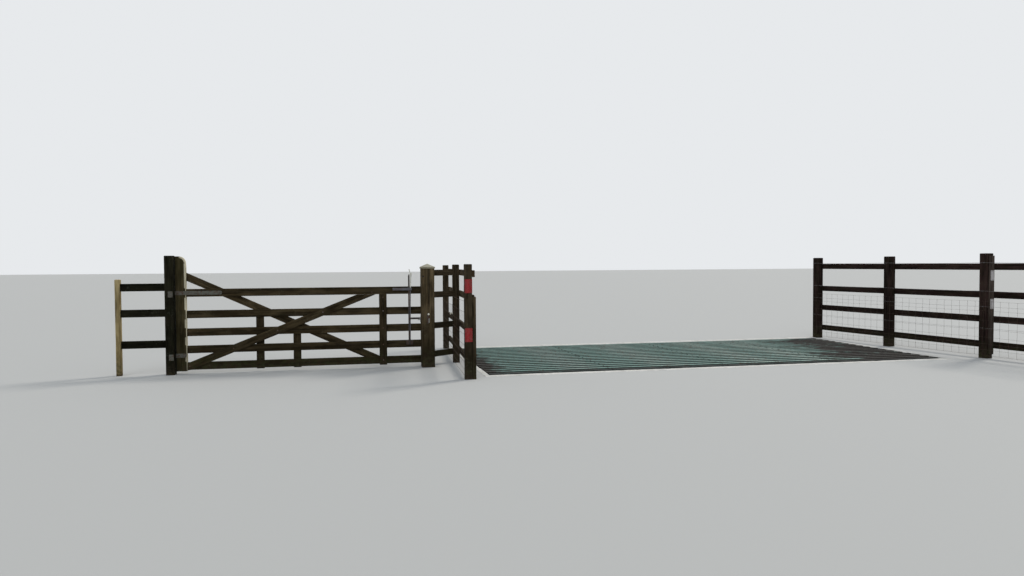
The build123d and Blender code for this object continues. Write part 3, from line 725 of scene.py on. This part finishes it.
def crossings(upper, lower, ends=0.03, gap=0.13):
    """Where timbers of one node cross those of another: the point on the upper timber's outer face, the
    way out, and the upper timber's length and width directions."""
    parallel, beside, past, apart_most = 0.98, 0.09, 0.02, 0.14
    found = []
    lower_solids = measured(lower)
    for first in measured(upper):
        for second in lower_solids:
            d1, d2 = first.axes[0], second.axes[0]
            apart = first.middle - second.middle
            b, d, e = d1.dot(d2), d1.dot(apart), d2.dot(apart)
            if abs(b) > parallel:
                continue
            s, t = (b * e - d) / (1 - b * b), (e - b * d) / (1 - b * b)
            half1, half2 = first.size[0] / 2, second.size[0] / 2
            if abs(s) > half1 + beside or abs(t) > half2 + past:
                continue
            point = first.middle + d1 * max(-half1 + ends, min(half1 - ends, s))
            span = point - (second.middle + d2 * t)
            out = first.axes[2].copy()
            if out.dot(span) < 0:
                out = -out
            if abs(out.dot(span)) > gap or (span - out * out.dot(span)).length > apart_most:
                continue
            found.append((point + out * first.size[2] / 2, out, d1, first.axes[1]))
    return found


def circle(centre, first, second, radius, sides, turn=0.0):
    angles = [2 * pi * (k + turn) / sides for k in range(sides)]
    return [centre + (first * cos(a) + second * sin(a)) * radius for a in angles]


def turned(mesh, foot, out, profile, sides=16, material=0, closed=True):
    """A turned shape that stands out from a face, from its profile of (distance, radius)."""
    first = out.orthogonal().normalized()
    rings = [circle(foot + out * distance, first, out.cross(first), radius, sides)
             for distance, radius in profile]
    skin(mesh, rings, foot=closed, material=material)


def head(mesh, point, out, radius, rise, sides=10, flat=0.35, material=0):
    """One round head: a low dome on a face."""
    profile = [(-0.001, radius), (rise * 0.35, radius), (rise * 0.8, radius * 0.8), (rise, radius * flat)]
    turned(mesh, point, out, profile, sides, material, closed=False)


def nail_pairs(name, upper, lower):
    """A pair of nail heads for each crossing, one above the other and a little aslant."""
    spread, radius, sunk, rise = 0.022, 0.0042, 0.0012, 0.0018
    mesh = bmesh.new()
    rng = random.Random(name)
    for point, out, along, wide in crossings(upper, lower):
        lean = rng.uniform(0.01, 0.022)
        for sign in (-1, 1):
            head(mesh, point + (wide * spread + along * lean) * sign - out * sunk, out, radius, rise, 8)
    finish_piece(mesh, name, nail_steel, "ironwork")


nail_pairs("left_fence_nails", "left_wing_rails", "left_wing_posts")

# Red reflectors: two screwed plates of moulded red plastic on the near post, with a rim round a pattern of
# tiny prisms. The red is a little faded, with dust along the lower rim, and painted darker as painted shade.


def reflector_finish(name, lit, shaded, rim=False):
    f = Finish(name)
    cells = f.add("TexVoronoi", {"Vector": f.where, "Scale": 260.0, "Randomness": 0.0})["Distance"]
    f.colour = f.mixed(f.ramp(cells, 0.2, 0.6), lit, shaded)
    f.coat(f.patches(0.05, 0.45, 0.7, 6), (0.1, 0.085, 0.07), 0.35)
    f.coat(f.patches(0.006, 0.6, 0.66, 3), (0.09, 0.08, 0.06), 0.5)
    f.shader.inputs["Specular IOR Level"].default_value = 0.3
    return f.laid(f.between(0.16, 0.5, f.patches(0.03, 0.4, 0.7, 5)), None if rim else cells, 0.6)


def reflector(name, node, face_finish, rim_finish):
    """Plates with rounded corners, a raised rim, a field of prisms and two screws, in place of a node."""
    corner, screw_in, screw_radius = 0.009, 0.013, 0.0042
    mesh = bmesh.new()
    for solid in measured(node):
        length, wide, thick = solid.axes
        if thick.y > 0:
            thick = -thick
        half_long, half_wide, depth = solid.size[0] / 2, solid.size[1] / 2, solid.size[2]
        base = solid.middle - thick * depth / 2
        rings = []
        for inset, share in ((0, 0), (0, 0.7), (0.0012, 1), (0.0045, 1), (0.0055, 0.72), (0.02, 0.8)):
            ring = []
            radius = max(0.001, corner - inset)
            for sx, sy, start in ((1, 1, 0), (-1, 1, 90), (-1, -1, 180), (1, -1, 270)):
                for a in (radians(start + 22.5 * k) for k in range(5)):
                    x = sx * (half_wide - inset - radius) + radius * cos(a)
                    y = sy * (half_long - inset - radius) + radius * sin(a)
                    ring.append(base + wide * x + length * y + thick * depth * share)
            rings.append(ring)
        faces = skin(mesh, rings)
        for face in faces[:3 * len(ring)] + [faces[-2]]:
            face.material_index = 1
        for sign in (-1, 1):
            screw = base + length * sign * (half_long - screw_in) + thick * depth * 0.72
            head(mesh, screw, thick, screw_radius, depth * 0.2, 10, material=2)
    finish_piece(mesh, name, (face_finish, rim_finish, nail_steel), node[:-1], node)


# Painted shade: both red colours are darkened below the plastic's own red.
red_face = reflector_finish("red_prisms", (0.37, 0.013, 0.014), (0.2, 0.007, 0.008))
red_rim = reflector_finish("red_rims", (0.17, 0.009, 0.01), (0.12, 0.007, 0.008), rim=True)
reflector("left_reflectors", "red_reflectors", red_face, red_rim)

# Stock netting on the left wing: galvanised line wires with upright stays hinged on to them, stapled to the
# outer side of the posts, with one plain wire above. The wires sag a little between the posts.
wire_steel = steel_finish("netting_wire", (0.06, 0.056, 0.05), (0.035, 0.032, 0.028), 0.4, 0.55, 0.1, 0.8)
line_steel = steel_finish("line_wire", (0.2, 0.19, 0.19), (0.12, 0.115, 0.11), 0.5, 0.62, 0.3, 0.6)


def wire(mesh, points, radius, sides=4):
    """A thin wire through points."""
    rings = []
    for k, point in enumerate(points):
        ahead = (points[min(k + 1, len(points) - 1)] - points[max(k - 1, 0)]).normalized()
        first = ahead.cross(Vector((0, 0, 1) if abs(ahead.z) < 0.9 else (0, 1, 0))).normalized()
        rings.append(circle(point, first, ahead.cross(first), radius, sides, 0.5))
    skin(mesh, rings)


def netting(name, node, heights, plain, seed, steel, spacing=0.15):
    """Netting along the outer faces of a row of posts: line wires, stays and knots, plain wires, staples."""
    line, stay, knot_radius, staple_wire = 0.00135, 0.00125, 0.0036, 0.0016
    deepest_sag, sag_reach, widest_belly, past = 0.01, 0.9, 0.006, 0.03
    mesh = bmesh.new()
    rng = random.Random(seed)
    backs = []
    for solid in measured(node):
        outer = next(-a if a.x > 0 else a for a in solid.axes[1:] if abs(a.x) > 0.7)
        backs.append(Vector((*(solid.middle + outer * (solid.size[1] / 2 + 0.0015)).xy, 0)))
    backs.sort(key=lambda p: -p.y)
    start, span = backs[0], (backs[-1] - backs[0]).length
    run = (backs[-1] - start).normalized()
    out = Vector((run.y, -run.x, 0))
    out = -out if out.x > 0 else out
    spots = [(p - start).dot(run) for p in backs]

    def at(u, height, crimp=0.0):
        slack = min(abs(u - s) for s in spots)
        sag = deepest_sag * sin(min(slack, sag_reach) / sag_reach * pi / 2)
        sag *= 1 + 0.5 * uneven(u, height * 3, seed)
        belly = widest_belly * uneven(u * 1.1, height * 2, seed + 5) * min(1, slack * 3)
        up = Vector((0, 0, foot_level + height - sag))
        return start + run * u + out * (0.002 + abs(belly) + crimp) + up

    stays = [0.05 + spacing * k + rng.uniform(-0.006, 0.006)
             for k in range(int((span - 0.08) / spacing) + 1)] if heights else []
    for height in heights:
        stops = sorted([-past, span + past] + stays + [(a + b) / 2 for a, b in zip(stays, stays[1:])])
        wire(mesh, [at(u, height, 0.0018 if u in stays else 0.0) for u in stops], line)
    for u in stays:
        kinks = [h for low, high in zip(heights, heights[1:]) for h in (low, low + (high - low) * 0.5)]
        kinks.append(heights[-1])
        wire(mesh, [at(u + rng.uniform(-0.004, 0.004), height, 0.001) for height in kinks], stay)
        for height in heights:
            knot = Matrix.Translation(at(u, height, 0.0022))
            bmesh.ops.create_icosphere(mesh, subdivisions=1, radius=knot_radius, matrix=knot)
    for height, radius in plain:
        wire(mesh, [at(-0.04 + (span + 0.08) * k / 40, height) for k in range(41)], radius)
    staple = ((-0.002, 0.007), (0.0035, 0.006), (0.0035, -0.006), (-0.002, -0.007))
    for u in spots:
        for height in heights + [h for h, _ in plain]:
            wire(mesh, [start + run * u + Vector((0, 0, foot_level + height + rise)) + out * clear
                        for clear, rise in staple], staple_wire)
    finish_piece(mesh, name, steel, "ironwork")


net_lines = [0.03, 0.12, 0.22, 0.33, 0.46, 0.61, 0.77, 0.93]
netting("left_netting", "left_wing_posts", net_lines, [(1.08, 0.0016)], 11, wire_steel)

# The right wing fence: stout sawn posts with four rails on the outer side, painted darker than the left wing
# as painted shade, and greener, with grey tops. It has the same netting, and four plain line wires.
right_timber = timber_finish(
    "dark_mossy_timber", (0.021, 0.011, 0.009), (0.009, 0.005, 0.0045), (0.054, 0.031, 0.027),
    (0.054, 0.04, 0.035), mossy=0.2, lichen=0.25)
sawn("right_posts", "right_wing_posts", right_timber, 5, arris=0.006, top=0.008, splits=7, deep=0.016)
sawn("right_rails", "right_wing_rails", right_timber, 6, splits=3, deep=0.006)
nail_pairs("right_fence_nails", "right_wing_rails", "right_wing_posts")
netting("right_netting", "right_wing_posts", net_lines, [], 23, wire_steel)
netting(
    "right_line_wires", "right_wing_posts", [],
    [(0.48, 0.0018), (0.84, 0.0018), (1.1, 0.003), (1.575, 0.003)], 29, line_steel)

# The marker board: a pale sawn board on the third post of the right wing, unstained and weathered, with two
# white reflectors of moulded plastic, painted grey as painted shade.
pale_timber = timber_finish(
    "pale_weathered_timber", (0.062, 0.043, 0.036), (0.034, 0.024, 0.02), (0.105, 0.08, 0.068),
    (0.095, 0.08, 0.07), earth_height=0.22, low_darkening=0.8)
sawn("pale_board", "marker_board", pale_timber, 7, slot="pale_timber", arris=0.003, deep=0.005)
# Painted shade: the white plastic is darkened to a grey.
white_face = reflector_finish("white_prisms", (0.5, 0.47, 0.46), (0.36, 0.335, 0.33))
white_rim = reflector_finish("white_rims", (0.38, 0.355, 0.34), (0.31, 0.29, 0.28), rim=True)
reflector("right_reflectors", "white_reflectors", white_face, white_rim)

# The hanging post and the corner post: sawn posts with a short run of three rails between them, let in
# behind the hanging post, which carries the gate's weight.
# Painted shade: the hanging post and the side rails are painted near black, and so is their moss.
post_timber = timber_finish(
    "gate_post_timber", (0.01, 0.009, 0.005), (0.004, 0.0035, 0.002), (0.025, 0.022, 0.013),
    (0.03, 0.027, 0.018), moss=(0.018, 0.022, 0.008), mossy=0.25)
tan_timber = timber_finish(
    "tan_post_timber", (0.43, 0.325, 0.145), (0.23, 0.165, 0.07), (0.62, 0.49, 0.25), (0.52, 0.45, 0.27),
    mossy=0.1, low_darkening=0.3)
sawn(
    "hanging_post_timber", "hanging_post", post_timber, 8, arris=0.0012, top=0.008, splits=6, deep=0.016,
    proud=0.0016)
sawn("corner_post_timber", "corner_post", tan_timber, 9, slot="pale_timber", arris=0.005, top=0.008, splits=4)
sawn("side_rail_timber", "side_rails", post_timber, 10, deep=0.006)

# The shutting post: a square sawn post with a pale weathered pyramid cap that throws off the rain, and four
# link rails that close the gap to the wing fence.
shutting_timber = timber_finish(
    "shutting_post_timber", (0.086, 0.06, 0.031), (0.028, 0.019, 0.01), (0.2, 0.146, 0.082),
    (0.16, 0.132, 0.088), low_darkening=1.0)
sawn("shutting_post_timber", "shutting_post", shutting_timber, 12, arris=0.006, splits=7, deep=0.014)
sawn("link_rail_timber", "link_rails", dark_timber, 13, deep=0.006)
nail_pairs("link_nails", "link_rails", "left_wing_posts")
cap = plain_mesh("shutting_post_cap")
bmesh.ops.bevel(cap, geom=cap.edges[:], offset=0.003, segments=2, affect="EDGES", clamp_overlap=True)
bmesh.ops.subdivide_edges(cap, edges=cap.edges, cuts=5, use_grid_fill=True)
cap_grain = cap.verts.layers.float_vector.new("grain")
cap_tone = cap.verts.layers.float.new("tone")


def middle_of(node):
    low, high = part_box(node)
    return (low + high) / 2


cap_middle = middle_of("shutting_post_cap")
cap_core = Vector((*cap_middle.xy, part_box("shutting_post_cap")[0].z + 0.02))
for vert in cap.verts:
    rough = uneven(vert.co.x * 12, vert.co.y * 60, vert.co.z * 40)
    inward = cap_core - vert.co
    if inward.length > 0.02:
        vert.co += inward.normalized() * (0.0008 + 0.0014 * max(0, rough))
    vert[cap_grain] = vert.co - cap_middle
    vert[cap_tone] = 0.6
grey_timber = timber_finish(
    "grey_cap_timber", (0.36, 0.32, 0.23), (0.22, 0.19, 0.13), (0.5, 0.465, 0.355), (0.43, 0.415, 0.34),
    mossy=0.12, lichen=0.8)
finish_piece(cap, "post_cap", grey_timber, "pale_timber", "shutting_post_cap", outward=False)

# The gate leaf: a planed softwood five-rail gate. The harr is its tall heel post, with a stop chamfer on its
# right arris. The rails are tenoned into it and into the head stile, and the braces and stiles are lapped on
# and bolted through.
gate_timber = timber_finish(
    "gate_timber", (0.035, 0.0235, 0.01), (0.014, 0.0095, 0.0045), (0.088, 0.064, 0.034),
    (0.085, 0.07, 0.046), mossy=0.1, earth_height=0.12, low_darkening=0.35)
harr_low, harr_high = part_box("harr")
harr_head = 0.1
# The harr's +X side is painted pale as a sunlit highlight.
harr_timber = timber_finish(
    "harr_timber", (0.05, 0.039, 0.0155), (0.02, 0.0155, 0.0065), (0.115, 0.09, 0.045), (0.12, 0.1, 0.06),
    mossy=0.2, earth_height=0.1, low_darkening=0.35, sunlit_highlight=(0.7, 0.63, 0.46),
    rounding=(harr_high.x - harr_head, harr_high.z - harr_head, harr_head))
gate = {"slot": "gate_timber", "body": "gate"}
harr = sawn("gate_harr", "harr", harr_timber, 14, **gate, arris=0.0012, splits=4, step=0.01)
rail_spans = [(rail.middle.z - rail.size[1] / 2, rail.middle.z + rail.size[1] / 2)
              for rail in measured("gate_rails")]
stop_chamfer, stop_length, left_set = 0.024, 0.012, 0.0011
for vert in harr.data.vertices:
    across, deep = max(harr_high.x - vert.co.x, 0), vert.co.y - harr_low.y
    from_rail = min(max(low - vert.co.z, vert.co.z - high) for low, high in rail_spans)
    if deep < 0.012 and from_rail > 0.003 and vert.co.z < harr_high.z - harr_head:
        vert.co.y += 0.9 * max(0, stop_chamfer - across) * min(1, from_rail / stop_length)
    if vert.co.x < harr_low.x + 0.003:
        vert.co.x -= left_set
head_low, rail_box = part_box("head_stile")[0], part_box("gate_rails")
sawn(
    "gate_rail_timber", "gate_rails", gate_timber, 15, **gate, arris=0.003, deep=0.005,
    tenons=(harr_high.x - rail_box[0].x, rail_box[1].x - head_low.x, 0.028))
sawn("gate_head", "head_stile", gate_timber, 16, **gate, deep=0.006)
sawn("gate_uprights", "gate_stiles", gate_timber, 17, **gate, arris=0.003, splits=1, deep=0.004)
sawn("gate_back_brace", "back_brace", gate_timber, 18, **gate, arris=0.003, deep=0.004, proud=0.0016)
sawn("gate_front_brace", "front_brace", gate_timber, 19, **gate, arris=0.003, deep=0.004)

# Gate bolts: carriage bolts of galvanised steel, one through each place where a brace or an upright is lapped
# on a rail. Only their domed heads stand out from the boards, dulled and rusting.
bolt_steel = steel_finish("gate_bolts", (0.16, 0.155, 0.15), (0.09, 0.08, 0.07), 0.38, 0.5, 0.5, 0.5)
bolts = bmesh.new()
for board in ("front_brace", "back_brace", "gate_stiles"):
    for point, out, along, wide in crossings(board, "gate_rails", 0.05, 0.06):
        head(bolts, point - out * 0.0015, out, 0.011, 0.006, 14, 0.25)
finish_piece(bolts, "gate_bolt_heads", bolt_steel, "ironwork", body="gate")

# The hinges: galvanised strap bands wrapped round the heel, with eyes that turn on hook bolts driven
# through the hanging post. Zinc has dulled, with rust where the pin rubs and round the bolts.
strap_steel = steel_finish(
    "galvanised_straps", (0.088, 0.088, 0.072), (0.058, 0.058, 0.048), 0.5, 0.62, 0.45, 0.55)
finish_nodes(strap_steel, "top_strap", "bottom_strap")
plate_drop, plate_half = 0.0423, 0.033
for node, strap in (("top_hook", "top_strap"), ("bottom_hook", "bottom_strap")):
    hook = bmesh.new()
    hook.from_mesh(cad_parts[node].data)
    plate_middle = middle_of(strap).z - plate_drop
    for vert in hook.verts:
        if abs(abs(vert.co.z - plate_middle) - plate_half) < 0.0005 and vert.co.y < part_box(node)[0].y + 0.03:
            vert.co.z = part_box(strap)[1].z if vert.co.z > plate_middle else plate_middle - 0.018
    finish_piece(hook, node + "_and_plate", strap_steel, "ironwork", node, outward=False)
strap_thick = 0.008
strap_bolts = bmesh.new()
for node, places in (("top_strap", (0.09, 0.3, 0.46, 0.62)), ("bottom_strap", (0.06, 0.115))):
    for place in places:
        x, z = harr_low.x + place, middle_of(node).z
        front, back = Vector((x, harr_low.y - strap_thick, z)), Vector((x, harr_high.y + strap_thick, z))
        head(strap_bolts, front, Vector((0, -1, 0)), 0.012, 0.007, 14, 0.25)
        head(strap_bolts, back, Vector((0, 1, 0)), 0.01, 0.009, 6, 0.95)
finish_piece(strap_bolts, "strap_bolts", strap_steel, "ironwork", body="gate")

# The riders' latch: a tall dark flat bar that turns on a pivot low on the gate, with a galvanised rod along
# its right edge that forks at the top for the hand. Its tongue rests on the catch.
latch_steel = steel_finish("latch_zinc", (0.34, 0.335, 0.315), (0.22, 0.215, 0.205), 0.56, 0.68, 0.45, 0.5)
bright_zinc = steel_finish("handled_zinc", (0.62, 0.6, 0.52), (0.46, 0.44, 0.38), 0.62, 0.72, 0.2, 0.5)
dull_zinc = steel_finish("dull_guide_zinc", (0.115, 0.112, 0.122), (0.075, 0.072, 0.08), 0.54, 0.66, 0.4, 0.6)
old_steel = steel_finish("old_fittings", (0.03, 0.028, 0.027), (0.018, 0.016, 0.015), 0.48, 0.6, 0.2, 0.65)


def flat_run(mesh, path, x0, z0, y, half_thick, material=0):
    """A bar with rounded edges along a path of (x, z, half width) from a point, in one upright plane."""
    rings = []
    for k, (x, z, half_wide) in enumerate(path):
        before, after = path[max(k - 1, 0)], path[min(k + 1, len(path) - 1)]
        ahead = Vector((after[0] - before[0], after[1] - before[1])).normalized()
        ring = []
        for a in (radians(30 * s + 15) for s in range(12)):
            wide = copysign(abs(cos(a)) ** 0.55, cos(a)) * half_wide
            thick = copysign(abs(sin(a)) ** 0.55, sin(a)) * half_thick
            ring.append((x0 + x + ahead.y * wide, y + thick, z0 + z - ahead.x * wide))
        rings.append(ring)
    skin(mesh, rings, material=material)


lever_x, lever_y = middle_of("latch_pivot").x, middle_of("latch_lever").y
bottom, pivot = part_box("latch_lever")[0].z - foot_level, middle_of("latch_pivot").z - foot_level
bar = [(0, bottom, 0.012), (0, bottom + 0.006, 0.019), (0, pivot + 0.03, 0.0195),
       (-0.006, pivot + 0.1, 0.0135)]
bar += [(-0.007, pivot + 0.1 + 0.12 * k, 0.0125) for k in range(1, 9)]
bar += [(-0.006, 1.42, 0.0115), (-0.004, 1.44, 0.008)]
rod = [(0.01, pivot + 0.05, 0.005), (0.0115, 0.6, 0.0055), (0.013, 0.9, 0.006), (0.0155, 1.19, 0.0075)]
grip = [(0.0155, 1.188, 0.0075), (0.021, 1.36, 0.0085), (0.025, 1.41, 0.009)]
long_prong = [(0.025, 1.41, 0.0085), (0.02, 1.435, 0.008), (0.01, 1.475, 0.0075), (-0.002, 1.52, 0.007),
              (-0.0035, 1.527, 0.005)]
short_prong = [(0.0245, 1.405, 0.007), (0.029, 1.425, 0.007), (0.035, 1.462, 0.0065), (0.0365, 1.467, 0.0045)]
lever = bmesh.new()
flat_run(lever, bar, lever_x, foot_level, lever_y, 0.0046)
for path, material in ((rod, 1), (grip, 2), (long_prong, 2), (short_prong, 2)):
    flat_run(lever, path, lever_x, foot_level, lever_y, 0.0048, material)
finish_piece(
    lever, "riders_lever", (old_steel, dull_zinc, bright_zinc), "ironwork", "latch_lever", body="lever")
finish_nodes(old_steel, "latch_tongue", "latch_pivot", "latch_catch")
finish_nodes(dull_zinc, "latch_guide")

# The fitting on the shutting post: a dark hasp plate with a rusty boss, a galvanised link that hangs beside
# it, and a white glazed knob. It is screwed to the post's face.


def glaze_finish():
    f = Finish("glazed_knobs")
    f.colour = f.mixed(f.patches(0.02, 0.35, 0.7, 4), (0.76, 0.73, 0.62), (0.6, 0.55, 0.43))
    f.coat(f.patches(0.006, 0.6, 0.7, 3), (0.12, 0.09, 0.06), 0.6)
    return f.laid(f.between(0.2, 0.5, f.patches(0.01, 0.4, 0.7, 4)))


glaze = glaze_finish()
rust_steel = steel_finish("rusty_boss", (0.085, 0.045, 0.028), (0.05, 0.028, 0.018), 0.35, 0.5, 0.1, 0.8)
plate_low, plate_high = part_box("post_fitting")
post_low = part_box("shutting_post")[0]
plate_x, tall = middle_of("post_fitting").x, plate_high.z - plate_low.z
out = Vector((0, -1, 0))
hasp = bmesh.new()
plate = [(-0.012, 0, 0.007), (-0.012, 0.006, 0.01), (-0.011, 0.09, 0.011), (-0.008, tall - 0.02, 0.0145),
         (-0.006, tall + 0.002, 0.01)]
link = [(0.01, 0.012, 0.004), (0.01, 0.018, 0.0065), (0.011, 0.085, 0.006)]
for path, half_thick, material in ((plate, 0.004, 0), (link, 0.003, 1)):
    flat_run(hasp, path, plate_x, plate_low.z, post_low.y - 0.004, half_thick, material)
turned(
    hasp, Vector((plate_x + 0.009, post_low.y, plate_low.z + 0.095)), out,
    [(0, 0.015), (0.007, 0.015), (0.011, 0.011), (0.013, 0.004)], material=2)
turned(
    hasp, Vector((plate_x + 0.004, post_low.y, plate_high.z - 0.017)), out,
    [(0, 0.012), (0.005, 0.012), (0.008, 0.0155), (0.016, 0.016), (0.021, 0.012), (0.0238, 0.004)],
    material=3)
finish_piece(hasp, "hasp_and_knob", (old_steel, latch_steel, rust_steel, glaze), "ironwork", "post_fitting")

# A glazed wire knob screwed to the outer side of the middle left post, and a dead knot in the face of the
# shutting post.
middle_post = sorted(measured("left_wing_posts"), key=lambda solid: solid.middle.y)[1]
outer_side = min((axis * sign for axis in middle_post.axes[1:] for sign in (-1, 1)), key=lambda a: a.x)
foot = Vector((*middle_post.middle.xy, foot_level + 0.785))
foot += outer_side * (middle_post.size[1] / 2 - 0.001)
knob = bmesh.new()
turned(
    knob, foot, outer_side,
    [(0, 0.016), (0.009, 0.018), (0.015, 0.012), (0.022, 0.012), (0.028, 0.021), (0.041, 0.02),
     (0.046, 0.01)])
finish_piece(knob, "wire_knob", glaze, "white_reflector")
knot_timber = steel_finish("dead_knot", (0.01, 0.007, 0.005), (0.006, 0.004, 0.003), 0.7, 0.8, 0.0, 0.9)
knot = bmesh.new()
head(knot, Vector((post_low.x + 0.025, post_low.y + 0.0006, foot_level + 1.41)), out, 0.015, 0.0012, 14)
finish_piece(knot, "dead_knot", knot_timber, "dark_timber")
